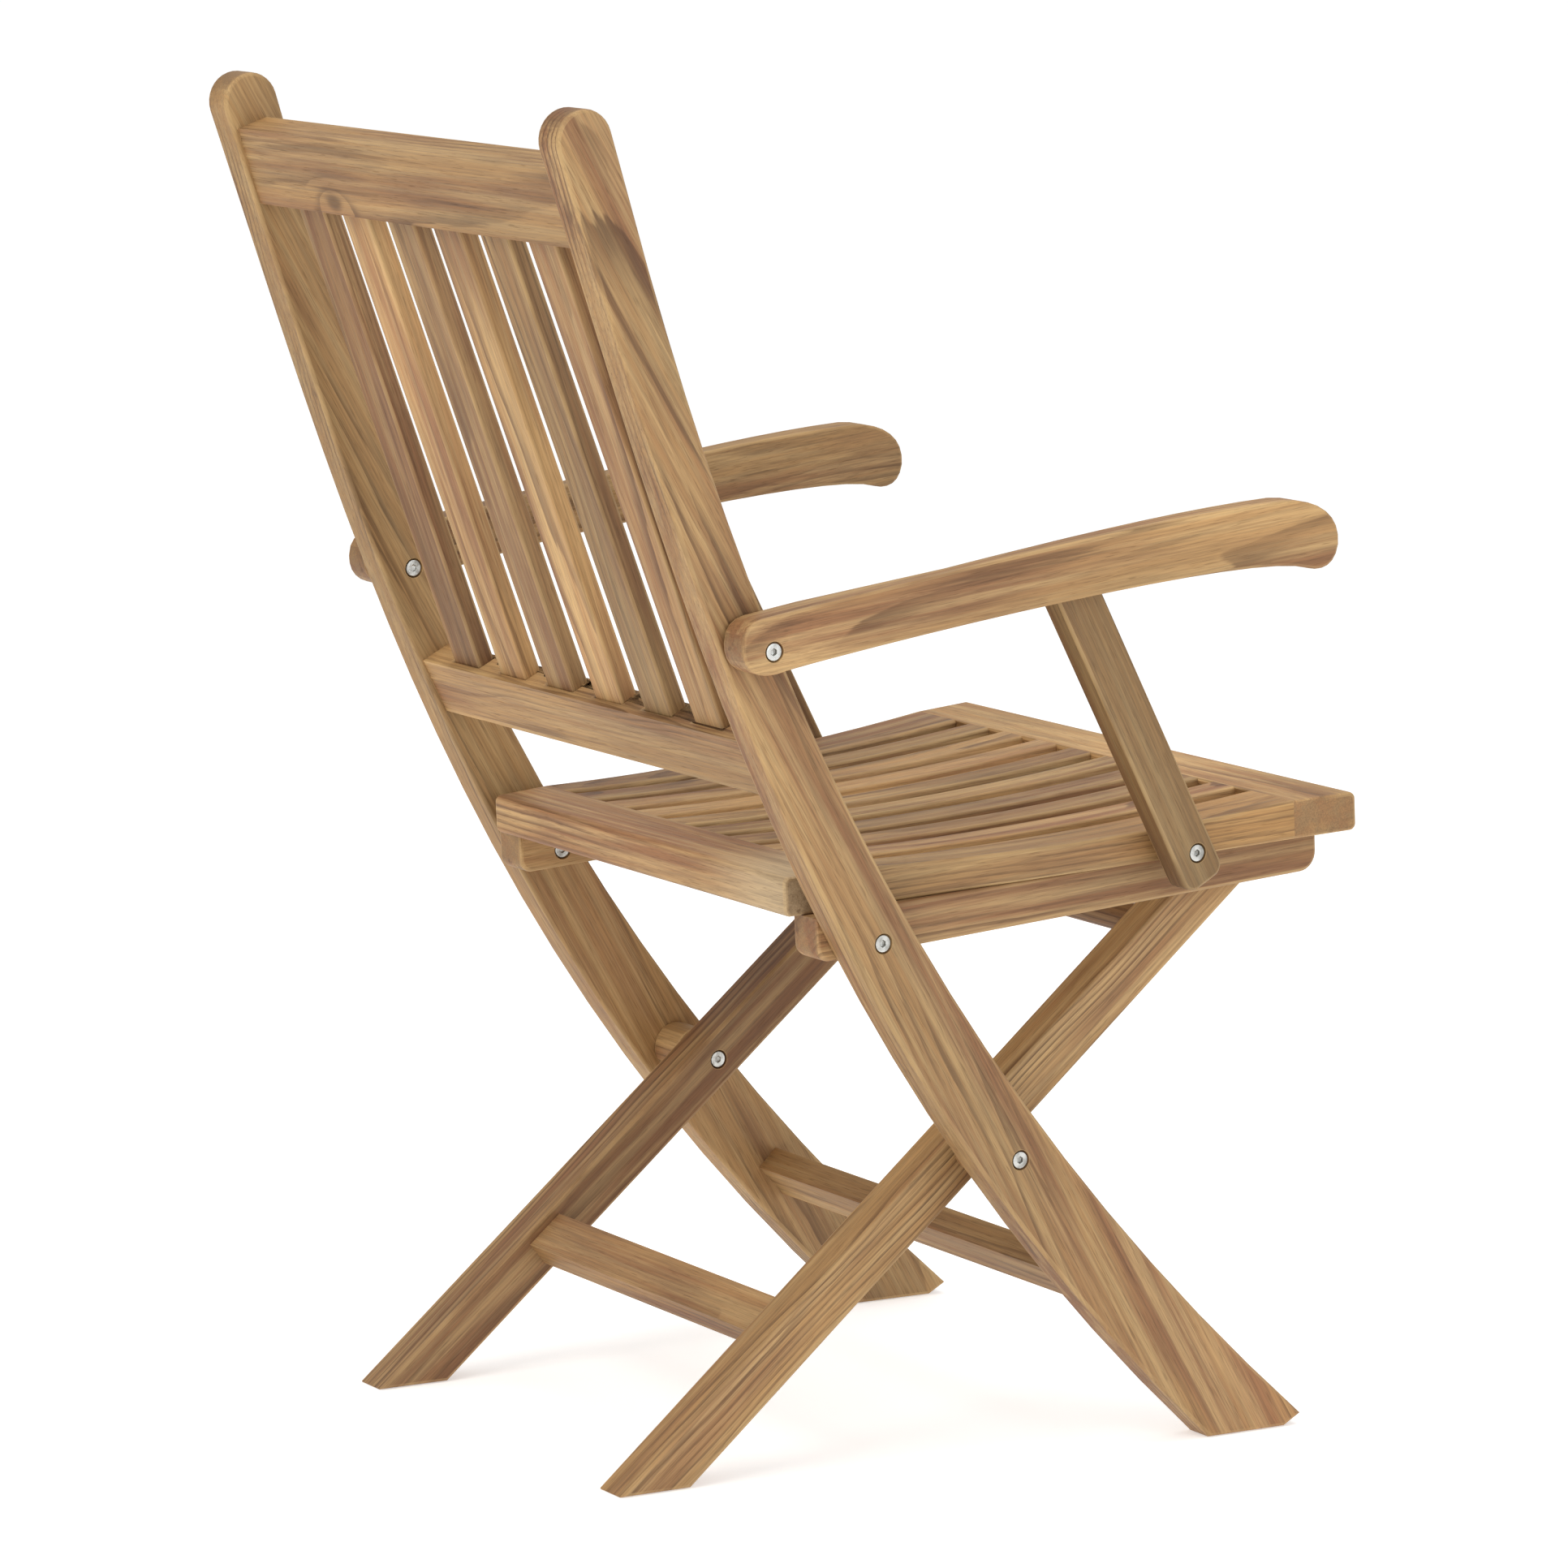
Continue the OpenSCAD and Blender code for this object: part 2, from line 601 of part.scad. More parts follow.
module arm_support() {
    difference() {
        plate(support_in, support_t) support_outline();
        for (p = [low_pin, high_pin]) pin(p, pivot_r + turn_gap, support_in - 1, support_out + 1);
        pin(low_pin, head_r + head_play, support_out - head_sink - play, support_out + 1);
        pin(high_pin, head_r + play, support_in - 1, support_in + head_sink + play);
    }
}
module arm_support_left() { color(teak) arm_support(); }
module arm_support_right() { color(teak) right() arm_support(); }

// ---------- arms ----------
// Side outline of an arm, as curves relative to the arm pivot.
arm_nose = 454;
module arm_outline() {
    y = arm_p[0];
    z = arm_p[1];
    curves = [
        [[10, 22.5], [-127, 45.5], [-297, 77.5], [-407, 85]],
        [[-407, 85], [-438, 85.5], [-455, 73], [-arm_nose, 53]],
        [[-arm_nose, 53], [-452, 38], [-441, 34.5], [-430, 37]],
        [[-430, 37], [-392, 49], [-167, 16], [-10, -13.5]],
        [[-10, -13.5], [11, -20], [25, -12], [25, 4.5]],
        [[25, 4.5], [25, 15.5], [19, 20.5], [10, 22.5]]
    ];
    steps = [14, 8, 6, 14, 8, 4];
    polygon([for (c = [0:len(curves) - 1]) each
        [for (p = curve(curves[c], steps[c], 1)) p + [y, z]]]);
}
arm_pad = 30;
function arm_inner(y) = arm_in + arm_flare * max(0, (arm_p[0] - arm_pad - y) / (arm_nose - arm_pad));
module arm() {
    bend = arm_p[0] - arm_pad;
    nose = arm_p[0] - arm_nose - 10;
    heel = arm_p[0] + 40;
    // The inner face is thinned where the folded support lies beside it.
    knee = [max(arm_inner(bend), support_out + side_gap), min(high_pin[0] + arm_overlap, bend - 1)];
    plan = [[max(arm_inner(nose), knee[0]), nose], [arm_inner(nose) + arm_t, nose], [arm_out, bend],
        [arm_out, heel], [arm_in, heel], [arm_in, bend], knee];
    difference() {
        intersection() {
            plate(0, 2 * arm_out) arm_outline();
            linear_extrude(2 * chair_h) polygon(plan);
        }
        pin(arm_p, pivot_r + turn_gap, arm_in - 1, arm_out + 1);
        pin(arm_p, head_r + head_play, arm_out - head_sink - play, arm_out + 1);
        pin(high_pin, pivot_r + snug_gap, arm_in - 1, arm_pin_x + joint_gap);
    }
}
arm_pin_x = arm_inner(high_pin[0]) + 15;
module arm_left() { color(teak) arm(); }
module arm_right() { color(teak) right() arm(); }
module arm_pin() {
    x0 = support_in + head_sink;
    difference() {
        union() {
            pin(high_pin, pivot_r, x0 - head_t, arm_pin_x);
            pin(high_pin, head_r, x0 - head_t, x0);
        }
        hex_socket(high_pin, x0 - head_t, hex_deep);
    }
}
module arm_pin_left() { color(steel) arm_pin(); }
module arm_pin_right() { color(steel) right() arm_pin(); }

// ---------- rear legs ----------
module leg_outline() {
    half = leg_w / 2;
    across = dir(90 - leg_angle);
    head = slide_p + leg_set * across;
    upper = head + half * across;
    lower = head - half * across;
    run = 1 / tan(leg_angle);
    polygon(concat([[lower[0] + lower[1] * run, 0], [upper[0] + upper[1] * run, 0]],
        arc(head, half, 90 - leg_angle, 270 - leg_angle, 16)));
}
crossbar_p = cross_p + crossbar_up * leg_up;
crossbar_shoulder = 3;
module stretcher_tenon(gap) { on_leg(-stretcher_down) bar_tenon(2 * leg_in, bar_w, bar_t, gap); }
module crossbar_tenon(gap) {
    end = leg_in + tenon_l + gap;
    pin(crossbar_p, crossbar_r - crossbar_shoulder + gap, -end, end);
}
module rear_leg() {
    difference() {
        plate(leg_in, leg_t) leg_outline();
        stretcher_tenon(joint_gap);
        crossbar_tenon(joint_gap);
        pin(cross_p, pivot_r + turn_gap, leg_in - 1, leg_out + 1);
        pin(cross_p, head_r + head_play, leg_in - 1, leg_in + leg_sink);
        pin(slide_p, pivot_r + snug_gap, leg_out - slide_grip, leg_out + 1);
    }
}
slide_grip = 24;
module rear_leg_left() { color(teak) rear_leg(); }
module rear_leg_right() { color(teak) right() rear_leg(); }
module rear_stretcher() {
    color(teak) {
        on_leg(-stretcher_down) bar(2 * leg_in, bar_w, bar_t);
        stretcher_tenon(0);
    }
}
module leg_crossbar() {
    color(teak) {
        pin(crossbar_p, crossbar_r, -leg_in, leg_in);
        crossbar_tenon(0);
    }
}
module slide_pins() {
    color(steel) both() pin(slide_p, pivot_r, leg_out - slide_grip, cleat_in + groove_depth - 1);
}

// ---------- one line per node ----------
stile_left();
stile_right();
back_top_rail();
back_bottom_rail();
for (i = [1:back_slats]) back_slat_node(i);
front_stretcher();
leg_spacer_left();
leg_spacer_right();
arm_washers();
leg_pivot_sleeves();
leg_pivot_screws();
seat_pivot_sleeves();
seat_pivot_screws();
arm_pivot_sleeves();
arm_pivot_screws();
seat_front_rail();
seat_rear_rail();
seat_side_rail_left();
seat_side_rail_right();
for (i = [1:seat_slats]) seat_slat(i);
seat_cleat_left();
seat_cleat_right();
cleat_screws();
support_bolts();
support_bushes();
rear_leg_left();
rear_leg_right();
rear_stretcher();
leg_crossbar();
slide_pins();
arm_left();
arm_right();
arm_support_left();
arm_support_right();
arm_pin_left();
arm_pin_right();
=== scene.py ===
"""Looks for the folding slatted armchair: eased teak boards with procedural grain, and turned steel hardware."""
import json
import math
import random

import bmesh
import bpy
import numpy as np
from mathutils import Matrix, Vector


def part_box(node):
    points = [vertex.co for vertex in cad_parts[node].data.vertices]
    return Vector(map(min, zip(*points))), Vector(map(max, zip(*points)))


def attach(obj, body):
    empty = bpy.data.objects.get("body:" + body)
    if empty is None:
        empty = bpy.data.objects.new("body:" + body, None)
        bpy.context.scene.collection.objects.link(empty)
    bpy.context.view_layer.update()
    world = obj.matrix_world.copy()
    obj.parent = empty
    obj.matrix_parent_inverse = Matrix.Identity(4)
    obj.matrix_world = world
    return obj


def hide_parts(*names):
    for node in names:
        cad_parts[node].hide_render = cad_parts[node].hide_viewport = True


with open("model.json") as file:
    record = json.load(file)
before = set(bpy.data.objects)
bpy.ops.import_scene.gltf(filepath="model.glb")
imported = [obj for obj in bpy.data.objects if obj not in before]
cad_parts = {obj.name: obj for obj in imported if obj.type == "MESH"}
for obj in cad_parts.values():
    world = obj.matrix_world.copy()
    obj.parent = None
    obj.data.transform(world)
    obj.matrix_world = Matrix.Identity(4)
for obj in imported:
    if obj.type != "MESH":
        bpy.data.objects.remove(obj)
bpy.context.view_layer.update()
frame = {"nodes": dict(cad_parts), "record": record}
MM = 0.001

# ---------- places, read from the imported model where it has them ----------
JOINT = {j["name"]: j for j in frame["record"]["behaviour"]["joints"]}
BODY_OF = {n: b for b, nodes in frame["record"]["behaviour"]["bodies"].items() for n in nodes}
SLOT_OF = {s["node"]: s["material_slot"] for s in frame["record"]["subparts"]}
PIVOTS = [(j["pos_m"][1], j["pos_m"][2]) for j in JOINT.values()]
STILE_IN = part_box("stile_left")[0].x
LEG_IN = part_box("rear_leg_left")[0].x
SEAT_PIVOT = Vector(JOINT["seat_fold"]["pos_m"])
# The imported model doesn't hold these sizes of the seat, so they repeat the part's own. The rails' inner faces are
# measured rearwards from the seat pivot, and their underside and top upwards from it.
SEAT_SLOPE = math.radians(4.65)
FRONT_RAIL_IN = -352 * MM
REAR_RAIL_IN = 2 * MM
SEAT_LOW = 18.3 * MM
SEAT_TOP = 46.1 * MM


def along_seat(p):
    """How far a point lies behind the seat pivot, measured along the seat."""
    d = p - SEAT_PIVOT
    return d.y * math.cos(SEAT_SLOPE) - d.z * math.sin(SEAT_SLOPE)


def above_seat(p):
    """How far a point lies above the seat pivot, measured square to the seat."""
    d = p - SEAT_PIVOT
    return d.y * math.sin(SEAT_SLOPE) + d.z * math.cos(SEAT_SLOPE)


def between_rails(station, margin):
    """Whether a distance along the seat is between the front and rear rails, by a margin."""
    return FRONT_RAIL_IN + margin < station < REAR_RAIL_IN - margin


# ---------- shader helpers ----------
class Net:
    """A node tree that is written as expressions."""

    def __init__(self, tree):
        self.tree = tree

    def node(self, kind, inputs=None, **settings):
        n = self.tree.nodes.new(kind)
        for key, value in settings.items():
            setattr(n, key, value)
        for key, value in (inputs or {}).items():
            if isinstance(value, bpy.types.NodeSocket):
                self.link(value, n.inputs[key])
            else:
                n.inputs[key].default_value = value
        return n

    def link(self, value, socket):
        self.tree.links.new(value, socket)

    def math(self, op, a, b=0.0, clamp=False):
        return self.node("ShaderNodeMath", {0: a, 1: b}, operation=op, use_clamp=clamp).outputs[0]

    def add(self, a, b, clamp=False):
        return self.math("ADD", a, b, clamp)

    def sub(self, a, b):
        return self.math("SUBTRACT", a, b)

    def mul(self, a, b):
        return self.math("MULTIPLY", a, b)

    def swing(self, noise, width):
        """A noise brought about zero, as wide as given."""
        return self.mul(self.sub(noise, 0.5), width)

    def grey(self, value):
        return self.node("ShaderNodeCombineColor", {0: value, 1: value, 2: value}).outputs[0]

    def scaled(self, vector, scale):
        return self.node("ShaderNodeVectorMath", {0: vector, 1: scale}, operation="MULTIPLY").outputs[0]

    def shifted(self, vector, offset):
        return self.node("ShaderNodeVectorMath", {0: vector, 1: offset}, operation="ADD").outputs[0]

    def noise(self, vector, scale=1.0, detail=3.0, rough=0.5):
        inputs = {"Vector": vector, "Scale": scale, "Detail": detail, "Roughness": rough}
        return self.node("ShaderNodeTexNoise", inputs).outputs["Fac"]

    def ramp(self, value, low, high, out_low=0.0, out_high=1.0):
        """A smooth step from one output to the other as the value goes from low to high."""
        inputs = {"Value": value, "From Min": low, "From Max": high, "To Min": out_low, "To Max": out_high}
        return self.node("ShaderNodeMapRange", inputs, interpolation_type="SMOOTHSTEP").outputs[0]

    def mix(self, fac, a, b, blend="MIX"):
        n = self.node("ShaderNodeMix", data_type="RGBA", blend_type=blend)
        for key, value in ((0, fac), (6, a), (7, b)):
            if isinstance(value, bpy.types.NodeSocket):
                self.link(value, n.inputs[key])
            else:
                n.inputs[key].default_value = value
        return n.outputs[2]

    def bump(self, height, strength, distance):
        inputs = {"Height": height, "Strength": strength, "Distance": distance}
        return self.node("ShaderNodeBump", inputs).outputs[0]

    def attribute(self, name, output="Fac"):
        return self.node("ShaderNodeAttribute", attribute_name=name).outputs[output]


def rgb(r, g, b):
    """A colour given as 0-255 screen values."""
    def linear(c):
        c /= 255
        return c / 12.92 if c <= 0.04045 else ((c + 0.055) / 1.055) ** 2.4
    return (linear(r), linear(g), linear(b), 1.0)


def material(name):
    m = bpy.data.materials.new(name)
    m.use_nodes = True
    m.node_tree.nodes.clear()
    net = Net(m.node_tree)
    shader = net.node("ShaderNodeBsdfPrincipled")
    out = net.node("ShaderNodeOutputMaterial")
    net.link(shader.outputs[0], out.inputs[0])
    return m, net, shader


HONEY = rgb(168, 130, 84)
STRAW = rgb(190, 158, 110)
ROSY = rgb(138, 97, 64)
LINE = rgb(90, 60, 37)
PORE = rgb(74, 49, 31)
SAP = rgb(196, 170, 132)
AMBER = rgb(176, 130, 76)
STEEL_BRIGHT = rgb(196, 195, 190)
STEEL_DULL = rgb(142, 139, 132)

# The noises in the grain: cycles per metre along, across and through the board, detail, and roughness.
GRAIN = {
    "wander": ((2.2, 9.0, 9.0), 2.0, 0.5),
    "ripple": ((9.0, 60.0, 60.0), 3.0, 0.5),
    "strength": ((3.0, 30.0, 30.0), 2.0, 0.5),
    "fibre": ((14.0, 700.0, 700.0), 3.0, 0.65),
    "streak": ((3.0, 110.0, 110.0), 4.0, 0.6),
    "drift": ((3.5, 34.0, 34.0), 3.0, 0.5),
    "mineral": ((2.4, 75.0, 75.0), 4.0, 0.6),
    "cloud": ((2.0, 7.0, 7.0), 2.0, 0.5),
    "pores": ((55.0, 1500.0, 1500.0), 1.0, 0.5),
    "painted_arris_highlight": ((16.0, 16.0, 16.0), 2.0, 0.5),
}
# Lengths are in metres. The slant is per metre of board, and the stretch is a scale along, across and through it.
RING_SPACING = 0.0052
PITH_WANDER = 0.060
PITH_SLANT = 0.020
RING_RIPPLE = 0.0042
KNOT_BULGE = 0.007
KNOT_BULGE_REACH = 0.022
KNOT_STRETCH = (0.55, 1.0, 1.0)
KNOT_EDGE = (0.0085, 0.0025)
KNOT_SWING = 0.012
SAP_SWING = 0.05
AMBER_SWING = 0.02
# How much of each colour shows where it is strongest.
PALE_SHARE = 0.58
SAP_SHARE = 0.9
AMBER_SHARE = 0.6
LINE_SHARE = 0.72
MINERAL_SHARE = 0.52
PORE_SHARE = 0.30
KNOT_SHARE = 0.60


def teak(name, knot=None, sapwood=None, amber=None):
    """Straight-grained teak. The grain attribute is metres along, across and through the board."""
    m, net, shader = material(name)
    grain = net.attribute("grain", "Vector")
    tone_and_painted_shade = net.node("ShaderNodeSeparateXYZ", {0: net.attribute("board", "Vector")})
    split = net.node("ShaderNodeSeparateXYZ", {0: grain})
    along, across, through = split.outputs

    def layer(kind):
        scale, detail, rough = GRAIN[kind]
        return net.noise(net.scaled(grain, scale), detail=detail, rough=rough)

    # Growth rings: distance from a wandering pith, stretched along the board.
    wander = layer("wander")
    ripple = layer("ripple")
    side = net.add(across, net.swing(wander, PITH_WANDER))
    deep = net.add(through, net.mul(along, PITH_SLANT))
    pith = net.math("SQRT", net.add(net.mul(side, side), net.mul(deep, deep)))
    rings = net.add(pith, net.mul(ripple, RING_RIPPLE))
    if knot:
        away = net.node("ShaderNodeVectorMath", {0: net.scaled(net.shifted(grain, knot), KNOT_STRETCH)},
                        operation="LENGTH").outputs["Value"]
        rings = net.add(rings, net.ramp(away, 0.0, KNOT_BULGE_REACH, KNOT_BULGE, 0.0))
    phase = net.math("FRACT", net.math("DIVIDE", rings, RING_SPACING))
    late = net.mul(net.ramp(phase, 0.45, 0.93), net.ramp(phase, 1.0, 0.95))
    lines = net.mul(late, net.ramp(layer("strength"), 0.40, 0.68, 0.05, 1.0))

    # Fine fibre, broad colour drift, and long dark streaks.
    fibre = layer("fibre")
    streak = layer("streak")
    drift = layer("drift")
    mineral = net.ramp(layer("mineral"), 0.60, 0.68)
    cloud = layer("cloud")
    pores = net.ramp(layer("pores"), 0.60, 0.70)

    warm = net.add(net.ramp(drift, 0.36, 0.64), net.sub(tone_and_painted_shade.outputs[1], 0.5), clamp=True)
    colour = net.mix(warm, HONEY, ROSY)
    colour = net.mix(net.mul(net.ramp(streak, 0.40, 0.66), PALE_SHARE), colour, STRAW)
    if sapwood:
        edge = net.add(along, net.swing(wander, SAP_SWING))
        colour = net.mix(net.ramp(edge, *sapwood, 0.0, SAP_SHARE), colour, SAP)
    if amber:
        edge = net.add(along, net.swing(ripple, AMBER_SWING))
        colour = net.mix(net.ramp(edge, *amber, 0.0, AMBER_SHARE), colour, AMBER)
    colour = net.mix(net.mul(lines, LINE_SHARE), colour, LINE)
    colour = net.mix(net.mul(mineral, MINERAL_SHARE), colour, LINE)
    colour = net.mix(1.0, colour, net.grey(net.ramp(fibre, 0.30, 0.70, 0.80, 1.14)), "MULTIPLY")
    colour = net.mix(net.mul(pores, PORE_SHARE), colour, PORE)
    if knot:
        rim = net.add(away, net.swing(ripple, KNOT_SWING))
        colour = net.mix(net.ramp(rim, *KNOT_EDGE, 0.0, KNOT_SHARE), colour, PORE)

    # Board-to-board lightness, partly painted shade on boards that stand in shade, darker end grain, and a painted
    # highlight that makes the rounded arrises paler.
    # Painted shade: the board's lightness factor darkens the boards that stand in shade.
    level = net.mul(tone_and_painted_shade.outputs[0], net.ramp(cloud, 0.34, 0.66, 0.80, 1.14))
    colour = net.mix(1.0, colour, net.grey(level), "MULTIPLY")
    end_grain = net.attribute("end_grain")
    colour = net.mix(net.mul(end_grain, net.ramp(streak, 0.35, 0.65, 0.22, 0.55)), colour, LINE)
    # Painted highlight: the faces that rounding made (the arris mask) are mixed paler, towards straw, in noisy
    # patches.
    painted_arris_highlight = net.ramp(layer("painted_arris_highlight"), 0.35, 0.65, 0.10, 0.45)
    colour = net.mix(net.mul(net.attribute("arris"), painted_arris_highlight), colour, STRAW)
    net.link(colour, shader.inputs["Base Color"])

    rough = net.add(net.ramp(fibre, 0.25, 0.75, 0.50, 0.66), net.mul(pores, 0.12))
    net.link(rough, shader.inputs["Roughness"])
    height = net.sub(net.mul(fibre, 0.5), net.mul(pores, 0.6))
    height = net.sub(height, net.mul(lines, 0.25))
    net.link(net.bump(height, strength=0.22, distance=0.0006), shader.inputs["Normal"])
    shader.inputs["Specular IOR Level"].default_value = 0.32
    return m


def steel():
    """Turned stainless steel, with faint marks and dull spots."""
    m, net, shader = material("stainless_turned")
    where = net.node("ShaderNodeTexCoord").outputs["Object"]
    marks = net.noise(net.scaled(where, (2200.0, 500.0, 500.0)), detail=2.0)
    dull = net.noise(net.scaled(where, (160.0, 160.0, 160.0)), detail=3.0)
    net.link(net.mix(net.ramp(dull, 0.35, 0.75), STEEL_BRIGHT, STEEL_DULL), shader.inputs["Base Color"])
    rough = net.add(net.ramp(dull, 0.3, 0.7, 0.20, 0.40), net.mul(marks, 0.06))
    net.link(rough, shader.inputs["Roughness"])
    net.link(net.bump(marks, strength=0.12, distance=0.0001), shader.inputs["Normal"])
    shader.inputs["Metallic"].default_value = 1.0
    return m


# ---------- boards ----------
# How light a board is, as a factor on its colour: partly the board's own tone, and partly painted shade, which makes
# boards that stand in shade darker, such as the arm supports. Other boards draw theirs from the range.
LIGHTNESS_AND_PAINTED_SHADE = {
    "stile_right": 1.02, "stile_left": 0.86, "arm_right": 1.14, "arm_left": 0.74, "arm_support_right": 0.52,
    "arm_support_left": 0.74, "back_top_rail": 1.00, "back_bottom_rail": 0.98, "seat_rear_rail": 0.97,
    "seat_side_rail_right": 1.08, "seat_cleat_right": 1.02, "rear_leg_right": 0.92, "rear_leg_left": 0.88,
    "rear_stretcher": 1.04, "front_stretcher": 0.95, "back_slat_1": 1.12, "back_slat_2": 0.84,
    "back_slat_3": 1.12, "back_slat_4": 0.92, "back_slat_5": 1.16, "back_slat_6": 0.86,
}
LIGHTNESS_RANGE = (0.94, 1.22)

# How far back each kind of edge is rounded.
ARRIS = 2.6 * MM
SOFT_ARRIS = 2.2 * MM
SLAT_ARRIS = 2.0 * MM
BAR_ARRIS = 3.2 * MM
SPACER_ARRIS = 1.6 * MM
FINE_ARRIS = 0.9 * MM
RIM = 0.45 * MM
STEEL_ARRIS = 0.3 * MM
# An edge across a board's thickness gets this share of its outline's size.
CORNER_SHARE = 0.6
# A face is one of a board's flat sides if its normal is this near the x axis.
FLAT_SIDE = 0.99
# An edge is rounded if its faces meet at more than this, and shades as a crease from the next.
SHARP = math.radians(28)
CREASE = math.radians(38)
# Faces within this angle are made one, and so are points within this distance.
FLAT = math.radians(0.4)
WELD = 2e-6

# Slack in the tests of where an edge lies.
ON_PLANE = 0.5 * MM
ON_JOINT = 0.3 * MM
ON_TOP = 0.6 * MM
CLEAR_OF_RAIL = 2 * MM
CROSS_RAIL_SHOULDER = 0.19
BORE_REACH = 10 * MM
support_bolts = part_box("support_bolts")
BORES = PIVOTS + [((support_bolts[0].y + support_bolts[1].y) / 2, (support_bolts[0].z + support_bolts[1].z) / 2)]


def near_bore(e):
    """Whether an edge is the rim of a bore or of a counterbore."""
    for y, z in BORES:
        if all(math.hypot(v.co.y - y, v.co.z - z) < BORE_REACH for v in e.verts):
            return True
    return False


def reach_x(e):
    """How far from the middle of the chair an edge gets."""
    return max(abs(v.co.x) for v in e.verts)


def middle_station(e):
    return along_seat((e.verts[0].co + e.verts[1].co) / 2)


# A rule says how far back an edge is rounded, or 0 for an edge that stays crisp.
def everywhere(size):
    return lambda e: size


def slat_rule(e):
    inside = all(between_rails(along_seat(v.co), ON_PLANE) for v in e.verts)
    return SLAT_ARRIS if inside or between_rails(middle_station(e), CLEAR_OF_RAIL) else 0


def side_rail_rule(e):
    return ARRIS if between_rails(middle_station(e), CLEAR_OF_RAIL) else 0


def cross_rail_rule(e):
    heights = [above_seat(v.co) for v in e.verts]
    if all(between_rails(along_seat(v.co), -ON_JOINT) for v in e.verts):
        return FINE_ARRIS if min(heights) > SEAT_TOP - ON_TOP or max(heights) < SEAT_LOW + ON_PLANE else 0
    if any(SEAT_LOW + MM < h < SEAT_TOP - MM for h in heights) and reach_x(e) < CROSS_RAIL_SHOULDER:
        return 0
    return ARRIS


def outline_rule(size=ARRIS):
    """Eases a sawn outline, and leaves mortises and tenons crisp."""
    def rule(e):
        faces = e.link_faces
        if len(faces) != 2:
            return 0
        flat = [abs(f.normal.x) > FLAT_SIDE for f in faces]
        if flat[0] == flat[1]:
            return 0 if flat[0] else size * CORNER_SHARE
        return size if e.is_convex else 0
    return rule


def rail_rule(e):
    return 0 if reach_x(e) > STILE_IN - ON_PLANE or not e.is_convex else ARRIS


def leg_bar_rule(e):
    return 0 if reach_x(e) > LEG_IN - ON_PLANE else BAR_ARRIS


def copied(node):
    """A clean copy of a CAD node's mesh, with flat faces whole."""
    bm = bmesh.new()
    bm.from_mesh(frame["nodes"][node].data)
    bm.faces.layers.float.new("arris")
    bmesh.ops.remove_doubles(bm, verts=bm.verts, dist=WELD)
    bmesh.ops.dissolve_limit(bm, angle_limit=FLAT, verts=bm.verts, edges=bm.edges)
    bmesh.ops.recalc_face_normals(bm, faces=bm.faces)
    return bm


def ease(bm, rule, segments):
    """Rounds the sharp edges by the size that the rule gives for each, and marks the faces that this makes."""
    groups = {}
    for e in bm.edges:
        if len(e.link_faces) == 2 and e.calc_face_angle(0) > SHARP:
            size = rule(e)
            if size:
                groups.setdefault(RIM if near_bore(e) else size, []).append(e)
    for size in sorted(groups, reverse=True):
        edges = [e for e in groups[size] if e.is_valid]
        made = bmesh.ops.bevel(bm, geom=edges, offset=size, offset_type="OFFSET", segments=segments,
                               profile=0.5, affect="EDGES", clamp_overlap=False)
        for f in made["faces"]:
            f[bm.faces.layers.float["arris"]] = 1.0


def board_axes(bm):
    """A board's middle, and its length, width and thickness directions, from where its surface lies."""
    total, centre = 0.0, Vector()
    for f in bm.faces:
        area = f.calc_area()
        total += area
        centre += f.calc_center_median() * area
    centre /= total
    spread = np.zeros((3, 3))
    for f in bm.faces:
        d = np.array(f.calc_center_median() - centre)
        spread += f.calc_area() * np.outer(d, d)
    _, vectors = np.linalg.eigh(spread)
    return centre, [Vector(vectors[:, k]) for k in (2, 1, 0)]


# Where a board was cut from its log: metres along, across and through.
PITH_OFFSET = ((-9, 9), (-0.05, 0.05), (0.012, 0.05))
# End grain starts to show from this cosine between a face's normal and the board's length, and comes in over a width.
END_GRAIN_FROM = 0.75
END_GRAIN_WIDTH = 0.2


def dress(mesh, axes, centre, seed):
    """Writes the grain coordinates, the board's tone with its painted shade, and the end grain mask."""
    rnd = random.Random(seed)
    offset = Vector([rnd.uniform(*limits) for limits in PITH_OFFSET])

    def in_grain(place):
        return Vector([(place - centre).dot(a) + o for a, o in zip(axes, offset)])

    # The first value is the board's lightness, partly painted shade; the other two are drawn at random.
    tone_and_painted_shade = (LIGHTNESS_AND_PAINTED_SHADE.get(seed, rnd.uniform(*LIGHTNESS_RANGE)), rnd.random(), rnd.random())
    for name, kind, domain in (("grain", "FLOAT_VECTOR", "POINT"), ("board", "FLOAT_VECTOR", "FACE"),
                               ("end_grain", "FLOAT", "FACE")):
        mesh.attributes.new(name, kind, domain)
    for v in mesh.vertices:
        mesh.attributes["grain"].data[v.index].vector = in_grain(v.co)
    for p in mesh.polygons:
        mesh.attributes["board"].data[p.index].vector = tone_and_painted_shade
        facing = abs(p.normal.dot(axes[0]))
        share = (facing - END_GRAIN_FROM) / END_GRAIN_WIDTH
        mesh.attributes["end_grain"].data[p.index].value = min(1.0, max(0.0, share))
    return in_grain


def finish_piece(obj, node):
    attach(obj, BODY_OF[node])
    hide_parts(node)


